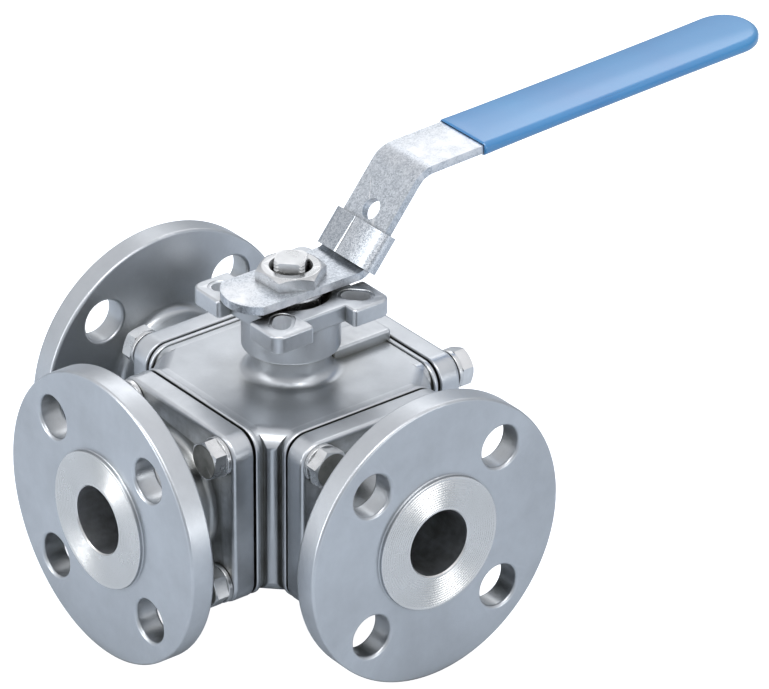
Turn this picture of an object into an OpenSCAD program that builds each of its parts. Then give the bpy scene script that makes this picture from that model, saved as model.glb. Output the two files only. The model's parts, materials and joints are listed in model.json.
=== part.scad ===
// Three-way flanged ball valve, operated by a lockable lever.
// Origin: where the axes of the pipe ends meet the stem axis, at the ball's centre.
// +X and -X are the straight run, -Y is the branch, +Y is the blanked side, +Z is the stem axis.
// All sizes are in millimetres.

/* [Flanges] */
// Outside diameter of each pipe flange
flange_d = 108; // [90:1:140]
// Thickness of a flange behind its raised face
flange_t = 9.6; // [6:0.2:20]
// Diameter of the raised sealing face
raised_d = 50.8; // [42:0.2:73]
// Height of the raised sealing face
raised_h = 1.6; // [0.5:0.1:3]
// Diameter of the flange bolt circle
flange_bolt_circle = 79.4; // [70:0.1:110]
// Diameter of the flange bolt holes
flange_hole_d = 16; // [10:0.5:18]
// Distance from the valve's centre to each sealing face
centre_to_face = 85; // [78:0.5:120]

/* [Flow way] */
// Diameter of the way through the caps and the ball
bore_d = 25; // [15:0.5:28]
// Outside diameter of the tube between a cap's plate and its flange
neck_d = 44; // [36:0.5:52]
// Radius of the fillet where the tube meets the flange
neck_fillet = 4; // [1:0.5:6]

/* [Body] */
// Width and height of the square ends that the caps bolt to
end_size = 66.6; // [62:0.2:90]
// Corner radius of the square ends
end_corner_r = 8; // [3:0.5:12]
// Distance from the valve's centre to the face of each square end
body_reach = 40.3; // [38:0.1:56]
// Thickness of the rim around each square end
rim_t = 2; // [1:0.1:4]
// Step from a rim down to the cast face behind it
rim_step = 0.7; // [0.3:0.1:2]
// Width of the groove behind each rim
groove_w = 2; // [1:0.1:4]
// Depth of that groove on the upright sides
groove_depth = 1.5; // [0.5:0.1:3]
// Radius of the upright rib at each corner
rib_r = 3.2; // [1.5:0.1:5]
// Width of the cast plateau on top, beside the blanked side
plateau_w = 12; // [8:1:40]
// Length of the plateau
plateau_len = 26; // [8:1:26]
// Height of the plateau
plateau_h = 4.5; // [1:0.5:6]

/* [Caps] */
// Thickness of a cap's square plate
cap_plate_t = 9; // [7:0.5:16]
// Gap between a cap's plate and the body, filled by the gasket
cap_gap = 1; // [0.5:0.1:3]
// Width of the gasket ring
gasket_w = 4; // [2:0.5:6]
// Radial gap between a cap's spigot and the body
spigot_gap = 0.2; // [0.1:0.05:0.5]

/* [Cap bolts] */
// Thread diameter of the cap bolts
bolt_d = 8; // [5:1:10]
// Distance between the cap bolts, across and up
bolt_spacing = 51; // [46:0.5:72]
// Depth of a cap bolt in the body
bolt_depth = 7.5; // [5:0.5:9]
// Width across the flats of a bolt's head
bolt_af = 13; // [8:0.5:17]
// Height of a bolt's head
bolt_head_h = 5.3; // [3:0.1:8]
// Thickness of a spring washer
washer_t = 1.8; // [1:0.1:3]
// Outside diameter of a spring washer
washer_d = 14.6; // [9:0.2:18]

/* [Ball and seats] */
// Diameter of the ball
ball_d = 48; // [44:0.5:60]
// Gap between the ball and its seats
seat_gap = 0.3; // [0.2:0.05:0.5]
// Outside diameter of the back of a seat
seat_d = 38; // [34:0.5:44]
// Depth of the pocket that holds a seat
seat_pocket = 2.8; // [1.5:0.1:5]
// Width of the slot in the ball that the stem drives
slot_w = 8.2; // [6:0.1:10]
// Depth of the slot below the top of the ball
slot_depth = 6; // [4:0.5:8]

/* [Stem] */
// Diameter of the stem
stem_d = 14; // [12:0.5:18]
// Width across the flats of the square at the stem's top
stem_square = 11; // [9:0.1:14]
// Diameter of the collar that keeps the stem in the body
collar_d = 20; // [17:0.5:24]
// Thickness of the collar
collar_t = 5; // [3:0.5:7]
// Length of stem that stands above the handle nut
stem_proud = 3.2; // [1:0.1:6]
// Radial running gap between the stem and its bore
stem_gap = 0.06; // [0.02:0.01:0.1]
// Thickness of the thrust washer above the collar
thrust_t = 1.5; // [1:0.1:3]
// Wire diameter of the O-ring on the stem
o_ring_wire = 1.8; // [1.5:0.1:2.6]

/* [Stem seal] */
// Outside diameter of the packing
packing_d = 22; // [19:0.5:24]
// Height of one packing ring
packing_h = 3.2; // [2:0.1:5]
// Number of packing rings
packing_count = 3; // [1:1:3]
// Thickness of the packing follower
follower_t = 3; // [2:0.5:5]
// Height of one disc spring
disc_spring_h = 1.6; // [1:0.1:2.5]
// Number of disc springs
disc_spring_count = 2; // [1:1:2]
// Thickness of the gland nut
gland_nut_t = 7; // [5:0.5:9]
// Width across the flats of the gland nut
gland_nut_af = 21; // [18:0.5:23]
// Thickness of the tab washer
tab_washer_t = 0.8; // [0.5:0.1:1.5]

/* [Mounting pad] */
// Height of the pad's top above the pipe axis
pad_z = 63; // [58:0.5:90]
// Width of the square pad
pad_size = 50.6; // [46:0.2:62]
// Corner radius of the pad
pad_corner_r = 4; // [2:0.5:8]
// Thickness of the pad's lugs
pad_t = 7; // [4:0.5:10]
// Width of the notch in each side of the pad
notch_w = 17.5; // [8:0.5:20]
// Depth of the notch in each side of the pad
notch_depth = 5.4; // [2:0.2:6]
// Smaller bolt circle of the pad's slots
pad_circle_small = 42; // [40:0.5:44]
// Larger bolt circle of the pad's slots
pad_circle_large = 50; // [46:0.5:51]
// Width of the pad's slots
pad_slot_w = 6.6; // [5:0.1:7]
// Diameter of the column below the pad
column_d = 35.4; // [33:0.2:44]
// Height of the column's foot above the pipe axis
column_z = 42.3; // [40:0.5:50]
// Diameter of the tube between the body and the column
pedestal_d = 28; // [27:0.5:32]
// Radius of the fillet at the pedestal's foot
pedestal_fillet = 5; // [1:0.5:6]
// Diameter of the recess in the pad around the gland nut
recess_d = 28; // [27:0.5:29]

/* [Lever] */
// Gap between the pad and the lever
lever_gap = 2.3; // [1.5:0.1:6]
// Width of the lever
lever_w = 24; // [20:0.5:30]
// Thickness of the lever's plate
lever_t = 3.2; // [2.6:0.1:6]
// Length of the tongue on the far side of the stem
tongue_len = 27.5; // [20:0.5:34]
// Radius of the tongue's round end
tongue_r = 14.3; // [12.5:0.1:20]
// Distance from the stem axis to the first bend
bend_y = 22.7; // [20:0.1:30]
// Angle of the sloping part above the horizontal
slope_angle = 51; // [30:1:60]
// Height of the second bend above the flat part
rise = 32; // [29:0.5:45]
// Radius of the lever's middle line round the first bend
first_bend_r = 5; // [3:0.5:6]
// Radius of the lever's middle line round the second bend
second_bend_r = 10; // [5:0.5:13]
// Angle of the handle above the horizontal
handle_angle = 2; // [0:0.5:6]
// Distance from the stem axis to the lever's end
lever_reach = 207; // [150:1:260]
// Diameter of the padlock hole
lock_hole_d = 8; // [5:0.5:10]
// Distance up the slope from the first bend to the padlock hole
lock_hole_s = 21.1; // [20:0.1:25]
// Thickness of the handle nut
handle_nut_t = 4.8; // [3:0.1:8]
// Width across the flats of the handle nut
handle_nut_af = 22; // [20:0.5:24]
// Angle that the tightened handle nut came to rest at
handle_nut_turn = 3; // [-30:1:30]

/* [Sleeve] */
// Distance from the stem axis to the start of the sleeve
sleeve_start = 76.5; // [70:0.5:120]
// Wall of the sleeve over the lever's faces and edges
sleeve_wall = 1.3; // [1:0.1:3]
// Thickness of the sleeve's closed end
sleeve_end_t = 4; // [2:0.5:8]

/* [Lock plate] */
// Length of the lock plate along the slope
lock_len = 14.6; // [8:0.2:16]
// Thickness of the lock plate's sheet
lock_t = 1.9; // [1:0.1:2.5]
// Gap between the lock plate and the lever
lock_gap = 0.8; // [0.2:0.05:1]
// Distance up the slope from the first bend to the lock plate
lock_s = 1.5; // [1.2:0.1:3]
// Width of the seam where the sheet's ends meet
seam_w = 1; // [0.5:0.1:3]
// Offset of the seam from the lever's middle
seam_x = -2; // [-8:0.5:8]

/* [Hidden] */
$fn = 64;

// A cut reaches this far past the face it leaves
past = 1;
// Play between pieces that are fixed to each other
play = 0.05;

cast_steel = [0.66, 0.68, 0.70];
bright_steel = [0.78, 0.79, 0.80];
white_plastic = [0.93, 0.93, 0.90];
dark_rubber = [0.12, 0.12, 0.13];
blue_vinyl = [0.25, 0.55, 0.80];

bore_r = bore_d / 2;
end_half = end_size / 2;
core_top = end_half - rim_step;
core_half = body_reach - rim_t - groove_w;
plate_in = body_reach + cap_gap;
plate_out = plate_in + cap_plate_t;
flange_back = centre_to_face - raised_h - flange_t;

ball_r = ball_d / 2;
cavity_r = ball_r + 1;
chamber_r = ball_r + 0.6;
spigot_r = chamber_r - spigot_gap;
// The spigots of two neighbouring caps stop short of each other
spigot_tip = chamber_r + 0.6;
seat_back = spigot_tip + seat_pocket;
seat_r = seat_d / 2;
seat_ball_r = ball_r + seat_gap;
// The seats of two neighbouring caps stop short of each other
seat_nose_r = seat_ball_r / sqrt(2) - 0.4;
seat_shoulder = seat_r + 1.8;

bolt_at = bolt_spacing / 2;
bolt_hole_r = bolt_d / 2 + 0.3;

slot_floor = ball_r - slot_depth;
collar_z = ball_r + 0.8;
collar_top = collar_z + collar_t;
shoulder_z = collar_top + thrust_t;
collar_bore_r = collar_d / 2 + 0.3;
stem_r = stem_d / 2;
stem_bore_r = stem_r + stem_gap;
// The thread that holds the handle nut runs on what the square leaves of the stem's round
top_thread_r = min(stem_r, stem_square / sqrt(2));
lever_z = pad_z + lever_gap;
lever_top = lever_z + lever_t;
handle_nut_top = lever_top + handle_nut_t;
stem_top = handle_nut_top + stem_proud;

// The seal stack hangs below the lever, one piece on the next
gland_nut_top = lever_z - tab_washer_t;
gland_nut_z = gland_nut_top - gland_nut_t;
disc_spring_z = gland_nut_z - disc_spring_count * disc_spring_h;
follower_z = disc_spring_z - follower_t;
packing_z = follower_z - packing_count * packing_h;
recess_z = disc_spring_z - 1;
packing_r = packing_d / 2;

lever_half = lever_w / 2;
lever_end_r = lever_half - 1;
sleeve_half = lever_half + sleeve_wall;
sleeve_end_r = sleeve_half - 0.5;

// The lever's middle line: out of the stem, round the two bends and along the handle
first_bend = first_bend_r * tan(slope_angle / 2);
turn_back = slope_angle - handle_angle;
second_bend = second_bend_r * tan(turn_back / 2);
mid_z = lever_z + lever_t / 2;
half_t = lever_t / 2;
corner_1 = [bend_y + half_t * tan(slope_angle / 2), mid_z];
slope_dir = [cos(slope_angle), sin(slope_angle)];
handle_dir = [cos(handle_angle), sin(handle_angle)];
corner_2 = corner_1 + slope_dir * rise / sin(slope_angle);
handle_len = (lever_reach - corner_2[0]) / cos(handle_angle);
bend_steps = 10;

function quarter_turn(v) = [-v[1], v[0]];
function arc(centre, r, from, to) = [
  for (i = [0 : bend_steps])
    let (a = from + (to - from) * i / bend_steps)
      centre + r * [cos(a), sin(a)]
];
function reversed(list) = [for (i = [len(list) - 1 : -1 : 0]) list[i]];

// One side of the lever, offset from its middle line: upwards for a positive offset
function lever_side(offset, start, length) = concat(
  [[start, mid_z + offset]],
  arc(corner_1 + [-first_bend, first_bend_r], first_bend_r - offset, -90, slope_angle - 90),
  arc(corner_2 - slope_dir * second_bend - quarter_turn(slope_dir) * second_bend_r,
    second_bend_r + offset, slope_angle + 90, handle_angle + 90),
  [corner_2 + handle_dir * length + quarter_turn(handle_dir) * offset]
);

module rounded_rect(w, h, r) {
  square([w - 2 * r, h], center = true);
  square([w, h - 2 * r], center = true);
  for (x = [-1, 1], y = [-1, 1])
    translate([x * (w / 2 - r), y * (h / 2 - r)]) circle(r = r);
}

module disc(r, from, to) {
  translate([0, 0, from]) cylinder(r = r, h = to - from);
}

module ring(outer, inner, from, to) {
  difference() {
    disc(outer, from, to);
    disc(inner, from - past, to + past);
  }
}

// Turns something built around +Z to point along a pipe end: 0 is +X, 90 is +Y
module pipe_end(angle) {
  rotate([0, 0, angle]) rotate([0, 90, 0]) children();
}

module at_bolts() {
  for (x = [-1, 1], y = [-1, 1])
    translate([x * bolt_at, y * bolt_at, 0]) children();
}

module hexagon(af, from, to) {
  translate([0, 0, from]) cylinder(d = af / cos(30), h = to - from, $fn = 6);
}

// Square of the stem, its corners towards the pipe ends
module stem_flats(across, from, to) {
  translate([0, 0, (from + to) / 2]) rotate([0, 0, 45])
    cube([across, across, to - from], center = true);
}

/* Body */

module body_core() {
  intersection() {
    translate([0, 0, -core_top]) linear_extrude(2 * core_top)
      rounded_rect(2 * core_half, 2 * core_half, rib_r);
    // Round the top and bottom of each corner between two square ends
    rotate([0, 0, 45]) corner_rounding();
    rotate([0, 0, -45]) corner_rounding();
  }
}

module corner_rounding() {
  reach = (core_half - rib_r) * sqrt(2) + rib_r;
  rotate([90, 0, 0]) linear_extrude(4 * core_half, center = true)
    rounded_rect(2 * reach, 2 * core_top, end_corner_r);
}

module body_end() {
  translate([0, 0, core_half - past]) linear_extrude(groove_w + 2 * past)
    rounded_rect(2 * core_top, end_size - 2 * groove_depth, end_corner_r - groove_depth);
  translate([0, 0, body_reach - rim_t]) linear_extrude(rim_t)
    rounded_rect(end_size, end_size, end_corner_r);
}

module pedestal() {
  rotate_extrude() polygon(concat(
    [[0, core_top - past], [pedestal_d / 2 + pedestal_fillet, core_top - past]],
    arc([pedestal_d / 2 + pedestal_fillet, core_top + pedestal_fillet], pedestal_fillet, 270, 180),
    [[pedestal_d / 2, column_z], [column_d / 2 - past, column_z], [column_d / 2, column_z + past]],
    [[column_d / 2, pad_z], [0, pad_z]]
  ));
}

module pad() {
  difference() {
    translate([0, 0, pad_z - pad_t]) linear_extrude(pad_t)
      rounded_rect(pad_size, pad_size, pad_corner_r);
    for (a = [0 : 90 : 270])
      rotate([0, 0, a]) translate([pad_size / 2 - notch_depth, -notch_w / 2, pad_z - pad_t - past])
        cube([pad_size, notch_w, pad_t + 2 * past]);
  }
}

module pad_slots() {
  for (a = [45 : 90 : 315])
    rotate([0, 0, a]) {
      for (d = [pad_circle_small, pad_circle_large])
        translate([d / 2, 0, pad_z - pad_t - past]) cylinder(d = pad_slot_w, h = pad_t + 2 * past);
      translate([pad_circle_small / 2, -pad_slot_w / 2, pad_z - pad_t - past])
        cube([(pad_circle_large - pad_circle_small) / 2, pad_slot_w, pad_t + 2 * past]);
    }
}

module body() {
  color(cast_steel) difference() {
    union() {
      body_core();
      for (a = [0 : 90 : 270]) pipe_end(a) body_end();
      pedestal();
      pad();
      translate([-plateau_w / 2, body_reach - plateau_len, core_top - past])
        cube([plateau_w, plateau_len, plateau_h + past]);
    }
    sphere(r = cavity_r);
    for (a = [0 : 90 : 270])
      pipe_end(a) {
        disc(chamber_r, 0, body_reach + past);
        at_bolts() disc(bolt_d / 2 + play, body_reach - bolt_depth - 0.5, body_reach + past);
      }
    disc(collar_bore_r, 0, shoulder_z);
    disc(stem_bore_r, 0, pad_z);
    disc(packing_r + play, packing_z, pad_z);
    disc(recess_d / 2, recess_z, pad_z + past);
    pad_slots();
  }
}

/* Caps */

module cap_plate() {
  translate([0, 0, plate_in]) linear_extrude(cap_plate_t)
    rounded_rect(end_size, end_size, end_corner_r);
  disc(spigot_r, spigot_tip, plate_in + past);
}

module cap_holes() {
  disc(seat_r + play, spigot_tip - past, seat_back);
  at_bolts() disc(bolt_hole_r, plate_in - past, plate_out + past);
}

module flanged_cap() {
  color(cast_steel) difference() {
    union() {
      cap_plate();
      rotate_extrude() polygon(concat(
        [[0, plate_in], [neck_d / 2, plate_in]],
        reversed(arc([neck_d / 2 + neck_fillet, flange_back - neck_fillet], neck_fillet, 90, 180)),
        [[flange_d / 2, flange_back], [flange_d / 2, centre_to_face - raised_h]],
        [[raised_d / 2, centre_to_face - raised_h], [raised_d / 2, centre_to_face], [0, centre_to_face]]
      ));
    }
    cap_holes();
    disc(bore_r, 0, centre_to_face + past);
    for (a = [45 : 90 : 315])
      rotate([0, 0, a]) translate([flange_bolt_circle / 2, 0, flange_back - past])
        cylinder(d = flange_hole_d, h = flange_t + 2 * past);
  }
}

module blank_plate() {
  color(cast_steel) difference() {
    cap_plate();
    cap_holes();
    disc(bore_r, 0, plate_in);
  }
}

// A flat ring, notched where it would reach the bolts
module gasket() {
  color(white_plastic) difference() {
    ring(chamber_r + gasket_w, chamber_r, body_reach, plate_in);
    at_bolts() disc(bolt_hole_r, body_reach - past, plate_in + past);
  }
}

// A stepped ring with a face that follows the ball
module seat() {
  color(white_plastic) difference() {
    rotate_extrude() polygon([
      [bore_r + play, 0], [seat_nose_r, 0], [seat_nose_r, seat_shoulder],
      [seat_r, seat_shoulder], [seat_r, seat_back], [bore_r + play, seat_back]
    ]);
    sphere(r = seat_ball_r);
  }
}

module cap_bolts() {
  head_z = plate_out + washer_t;
  color(bright_steel) at_bolts() {
    disc(bolt_d / 2, body_reach - bolt_depth, head_z + past);
    intersection() {
      hexagon(bolt_af, head_z, head_z + bolt_head_h);
      translate([0, 0, head_z])
        cylinder(r1 = bolt_af / 2 + bolt_head_h, r2 = bolt_af / 2, h = bolt_head_h + play);
    }
  }
}

module spring_washers() {
  color(bright_steel) at_bolts() difference() {
    ring(washer_d / 2, bolt_d / 2 + 0.2, plate_out, plate_out + washer_t);
    translate([0, -past / 2, plate_out - past]) cube([washer_d, past, washer_t + 2 * past]);
  }
}

/* Ball and stem */

module ball() {
  color(bright_steel) difference() {
    sphere(r = ball_r);
    rotate([0, 90, 0]) translate([0, 0, -ball_d]) cylinder(r = bore_r, h = 2 * ball_d);
    pipe_end(-90) cylinder(r = bore_r, h = ball_d);
    translate([-ball_d, -slot_w / 2, slot_floor]) cube([2 * ball_d, slot_w, ball_d]);
  }
}

module stem() {
  tang_w = slot_w - 0.2;
  tang_z = slot_floor + 0.3;
  groove_z = (shoulder_z + packing_z) / 2;
  color(bright_steel) difference() {
    union() {
      intersection() {
        disc(collar_d / 2, tang_z, collar_z + past);
        translate([-collar_d, -tang_w / 2, tang_z]) cube([2 * collar_d, tang_w, collar_d]);
      }
      disc(collar_d / 2, collar_z, collar_top);
      disc(stem_r, collar_z, gland_nut_z);
      intersection() {
        disc(stem_r, gland_nut_z - past, stem_top);
        stem_flats(stem_square, gland_nut_z - past, stem_top);
      }
    }
    ring(stem_r + past, stem_r - o_ring_wire - play, groove_z - 0.6 * o_ring_wire, groove_z + 0.6 * o_ring_wire);
  }
}

module thrust_washer() {
  color(white_plastic) ring(collar_d / 2, stem_r + play, collar_top, shoulder_z);
}

module stem_o_ring() {
  groove_z = (shoulder_z + packing_z) / 2;
  color(dark_rubber) translate([0, 0, groove_z]) rotate_extrude()
    translate([stem_r - o_ring_wire / 2, 0]) circle(d = o_ring_wire, $fn = 24);
}

module packing_rings() {
  color(white_plastic) for (i = [0 : packing_count - 1])
    ring(packing_r, stem_bore_r, packing_z + i * packing_h, packing_z + (i + 1) * packing_h - play);
}

module packing_follower() {
  color(bright_steel) ring(packing_r, stem_bore_r, follower_z, disc_spring_z);
}

module disc_springs() {
  inner = stem_r + 0.2;
  outer = packing_r - 0.5;
  sheet = 0.9;
  color(bright_steel) for (i = [0 : disc_spring_count - 1])
    translate([0, 0, disc_spring_z + i * disc_spring_h]) mirror([0, 0, i]) translate([0, 0, -i * disc_spring_h])
      rotate_extrude() polygon([
        [inner, disc_spring_h - sheet], [outer, 0], [outer, sheet], [inner, disc_spring_h]
      ]);
}

module gland_nut() {
  color(bright_steel) difference() {
    hexagon(gland_nut_af, gland_nut_z, gland_nut_top);
    disc(stem_r + play, gland_nut_z - past, gland_nut_top + past);
  }
}

module tab_washer() {
  color(bright_steel) difference() {
    disc(recess_d / 2 - 1.5, gland_nut_top, lever_z);
    stem_flats(stem_square + 2 * play, gland_nut_top - past, lever_z + past);
  }
}

/* Lever */

module lever_outline(start, length, grow) {
  polygon(concat(
    lever_side(half_t + grow, start, length),
    reversed(lever_side(-half_t - grow, start, length))
  ));
}

// Stands an outline drawn in the Y and Z directions up, centred on X
module across(width) {
  rotate([90, 0, 90]) linear_extrude(width, center = true) children();
}

// Seen from above: a strip with a round end at each end
module lever_plan(half, near, near_r, far, far_r) {
  translate([0, near_r - near]) circle(r = near_r);
  translate([-half, near_r - near]) square([2 * half, near + far - near_r - far_r]);
  translate([-half + far_r, 0]) square([2 * (half - far_r), far]);
  for (x = [-1, 1]) translate([x * (half - far_r), far - far_r]) circle(r = far_r);
}

module on_slope() {
  translate([0, corner_1[0], corner_1[1]]) rotate([slope_angle, 0, 0]) children();
}

module lever() {
  color(bright_steel) difference() {
    intersection() {
      across(lever_w) lever_outline(-tongue_len, handle_len, 0);
      linear_extrude(2 * (lever_top + rise + past))
        intersection() {
          lever_plan(lever_half, tongue_len, tongue_r, lever_reach - past, lever_end_r);
          translate([-lever_half, -tongue_len]) square([lever_w, tongue_len + lever_reach]);
        }
    }
    stem_flats(stem_square + 2 * play, lever_z - past, lever_top + past);
    on_slope() translate([0, lock_hole_s, -lever_t]) cylinder(d = lock_hole_d, h = 2 * lever_t);
  }
}

module handle_nut() {
  chamfer_r = handle_nut_af / 2;
  color(bright_steel) difference() {
    intersection() {
      rotate([0, 0, handle_nut_turn]) hexagon(handle_nut_af, lever_top, handle_nut_top);
      translate([0, 0, lever_top])
        cylinder(r1 = chamfer_r + handle_nut_t * sqrt(3), r2 = chamfer_r - 0.5, h = handle_nut_t);
    }
    disc(top_thread_r + play, lever_top - past, handle_nut_top + past);
    translate([0, 0, handle_nut_top - 0.8]) cylinder(r1 = top_thread_r, r2 = top_thread_r + 0.9, h = 0.9);
  }
}

module lever_sleeve() {
  start_len = (sleeve_start - corner_2[0]) / cos(handle_angle);
  tall = lever_t + 2 * sleeve_wall;
  full_len = handle_len + sleeve_end_t;
  color(blue_vinyl) translate([0, corner_2[0], corner_2[1]]) rotate([handle_angle, 0, 0])
    difference() {
      intersection() {
        translate([0, start_len, 0]) rotate([-90, 0, 0]) linear_extrude(full_len - start_len)
          rounded_rect(2 * sleeve_half, tall, tall / 2 - 0.4);
        translate([0, 0, -tall]) linear_extrude(2 * tall)
          lever_plan(sleeve_half, -start_len / 2, 1, full_len, sleeve_end_r);
      }
      translate([0, 0, -half_t - play]) linear_extrude(lever_t + 2 * play)
        lever_plan(lever_half + play, -start_len / 2, 1, handle_len, lever_end_r);
    }
}

/* Lock plate */

module lock_plate() {
  inner_w = lever_w + 2 * lock_gap;
  inner_t = lever_t + 2 * lock_gap;
  outer_w = inner_w + 2 * lock_t;
  outer_t = inner_t + 2 * lock_t;
  color(bright_steel) on_slope() translate([0, lock_s, 0]) rotate([-90, 0, 0])
    linear_extrude(lock_len) difference() {
      rounded_rect(outer_w, outer_t, outer_t / 2 - 0.6);
      rounded_rect(inner_w, inner_t, 0.4);
      translate([seam_x - seam_w / 2, -outer_t]) square([seam_w, outer_t]);
    }
}

body();
pipe_end(180) flanged_cap();  // run_cap_left
pipe_end(0) flanged_cap();  // run_cap_right
pipe_end(-90) flanged_cap();  // branch_cap
pipe_end(90) blank_plate();  // blank_cover
pipe_end(180) gasket();  // gasket_left
pipe_end(0) gasket();  // gasket_right
pipe_end(-90) gasket();  // gasket_branch
pipe_end(90) gasket();  // gasket_blank
pipe_end(180) seat();  // seat_left
pipe_end(0) seat();  // seat_right
pipe_end(-90) seat();  // seat_branch
pipe_end(90) seat();  // seat_blank
pipe_end(180) cap_bolts();  // cap_bolts_left
pipe_end(0) cap_bolts();  // cap_bolts_right
pipe_end(-90) cap_bolts();  // cap_bolts_branch
pipe_end(90) cap_bolts();  // cap_bolts_blank
pipe_end(180) spring_washers();  // spring_washers_left
pipe_end(0) spring_washers();  // spring_washers_right
pipe_end(-90) spring_washers();  // spring_washers_branch
pipe_end(90) spring_washers();  // spring_washers_blank
ball();
stem();
thrust_washer();
stem_o_ring();
packing_rings();
packing_follower();
disc_springs();
gland_nut();
tab_washer();
lever();
handle_nut();
lever_sleeve();
lock_plate();
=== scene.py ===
import json
from math import cos, pi, radians, sin, tan

import bmesh
import bpy
from mathutils import Matrix, Vector


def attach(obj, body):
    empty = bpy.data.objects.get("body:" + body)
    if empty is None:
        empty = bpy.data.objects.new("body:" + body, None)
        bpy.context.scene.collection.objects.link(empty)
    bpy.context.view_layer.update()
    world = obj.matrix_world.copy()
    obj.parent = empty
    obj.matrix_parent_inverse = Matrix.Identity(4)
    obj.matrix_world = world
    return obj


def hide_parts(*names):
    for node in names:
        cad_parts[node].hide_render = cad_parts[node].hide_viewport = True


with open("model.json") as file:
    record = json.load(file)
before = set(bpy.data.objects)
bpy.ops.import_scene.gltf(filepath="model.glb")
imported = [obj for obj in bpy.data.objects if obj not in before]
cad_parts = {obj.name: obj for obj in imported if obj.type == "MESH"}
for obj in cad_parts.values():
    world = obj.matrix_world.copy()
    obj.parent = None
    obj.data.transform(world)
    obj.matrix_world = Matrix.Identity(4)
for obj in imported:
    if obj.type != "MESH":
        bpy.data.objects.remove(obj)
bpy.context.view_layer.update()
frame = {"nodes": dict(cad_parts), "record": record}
scene = bpy.context.scene
nodes = frame["nodes"]
metres = 0.001  # pieces are modelled in millimetres, then brought to metres

# Shader node helpers


def newGroup(name, inputs, outputs):
    group = bpy.data.node_groups.new(name, "ShaderNodeTree")
    for label, kind, value in inputs:
        socket = group.interface.new_socket(label, in_out="INPUT", socket_type="NodeSocket" + kind)
        socket.default_value = value
    for label, kind in outputs:
        group.interface.new_socket(label, in_out="OUTPUT", socket_type="NodeSocket" + kind)
    start = group.nodes.new("NodeGroupInput")
    end = group.nodes.new("NodeGroupOutput")
    return group, start, end


def mathNode(tree, operation, first, second, clamp=False):
    node = tree.nodes.new("ShaderNodeMath")
    node.operation = operation
    node.use_clamp = clamp
    for socket, value in zip(node.inputs, (first, second)):
        if isinstance(value, (int, float)):
            socket.default_value = value
        else:
            tree.links.new(value, socket)
    return node.outputs[0]


def rangeNode(tree, value, low, high, toLow, toHigh):
    node = tree.nodes.new("ShaderNodeMapRange")
    tree.links.new(value, node.inputs["Value"])
    for label, item in (("From Min", low), ("From Max", high), ("To Min", toLow), ("To Max", toHigh)):
        if isinstance(item, (int, float)):
            node.inputs[label].default_value = item
        else:
            tree.links.new(item, node.inputs[label])
    return node.outputs["Result"]


def noiseNode(tree, vector, scale, detail=4.0, roughness=0.55):
    node = tree.nodes.new("ShaderNodeTexNoise")
    tree.links.new(vector, node.inputs["Vector"])
    node.inputs["Detail"].default_value = detail
    node.inputs["Roughness"].default_value = roughness
    if isinstance(scale, (int, float)):
        node.inputs["Scale"].default_value = scale
    else:
        tree.links.new(scale, node.inputs["Scale"])
    return node.outputs["Fac"]


def mixColour(tree, factor, first, second):
    node = tree.nodes.new("ShaderNodeMix")
    node.data_type = "RGBA"
    for socket, value in zip((node.inputs[0], node.inputs[6], node.inputs[7]), (factor, first, second)):
        if isinstance(value, (int, float, tuple)):
            socket.default_value = value
        else:
            tree.links.new(value, socket)
    return node.outputs[2]


# Camera, floor and light

view = {
    "azimuth": 51.86,
    "elevation": 28.89,
    "roll": 0.36,
    "distance": 2121.31,
    "right": 33.17,
    "up": 36.34,
    "lens": 279.0,
    "sensor": 36,
    "farthest": 50,
}


def addCamera(v):
    az, el, roll = (radians(v[k]) for k in ("azimuth", "elevation", "roll"))
    back = Vector((sin(az) * cos(el), -cos(az) * cos(el), sin(el)))
    right = Vector((cos(az), sin(az), 0))
    up = back.cross(right)
    turned = right * cos(roll) + up * sin(roll)
    raised = up * cos(roll) - right * sin(roll)
    data = bpy.data.cameras.new("camera")
    data.lens = v["lens"]
    data.sensor_width = v["sensor"]
    data.clip_end = v["farthest"]
    camera = bpy.data.objects.new("camera", data)
    scene.collection.objects.link(camera)
    place = (back * v["distance"] + turned * v["right"] + raised * v["up"]) * metres
    axes = Matrix((turned, raised, back)).transposed().to_4x4()
    camera.matrix_world = Matrix.Translation(place) @ axes
    scene.camera = camera


studio = {
    "floorColour": (0.58, 0.625, 0.68, 1),
    "floorGlow": 1.0,
    "floorDrop": 0.0545,
    "floorSize": 9,
    "floorRough": 0.9,
    "floorShine": 0.1,
    "worldTop": (1.0, 1.0, 1.02, 1),
    "worldSide": (0.40, 0.43, 0.465, 1),
    "worldBlend": 0.75,
    "worldStrength": 0.85,
    # name, place, size, power, aim
    "lamps": [
        ("keyLamp", (0.45, -0.35, 1.25), (1.1, 0.4), 5.5, (0, 0, 0.02)),
        ("leftLamp", (-0.52, -1.25, 0.75), (0.4, 1.0), 4, (0, 0, 0)),
        ("rightLamp", (1.35, 0.35, 0.55), (0.5, 1.2), 1.9, (0, 0, 0)),
        ("backLamp", (-0.8, 0.9, 1.1), (1.0, 0.6), 2.2, (0, 0, 0.03)),
        ("lowLeftLamp", (-0.45, -1.25, 0.12), (0.35, 0.3), 2.2, (0, 0, 0)),
        ("lowRightLamp", (1.25, 0.52, 0.12), (0.35, 0.3), 0.9, (0, 0, 0)),
    ],
}


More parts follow.
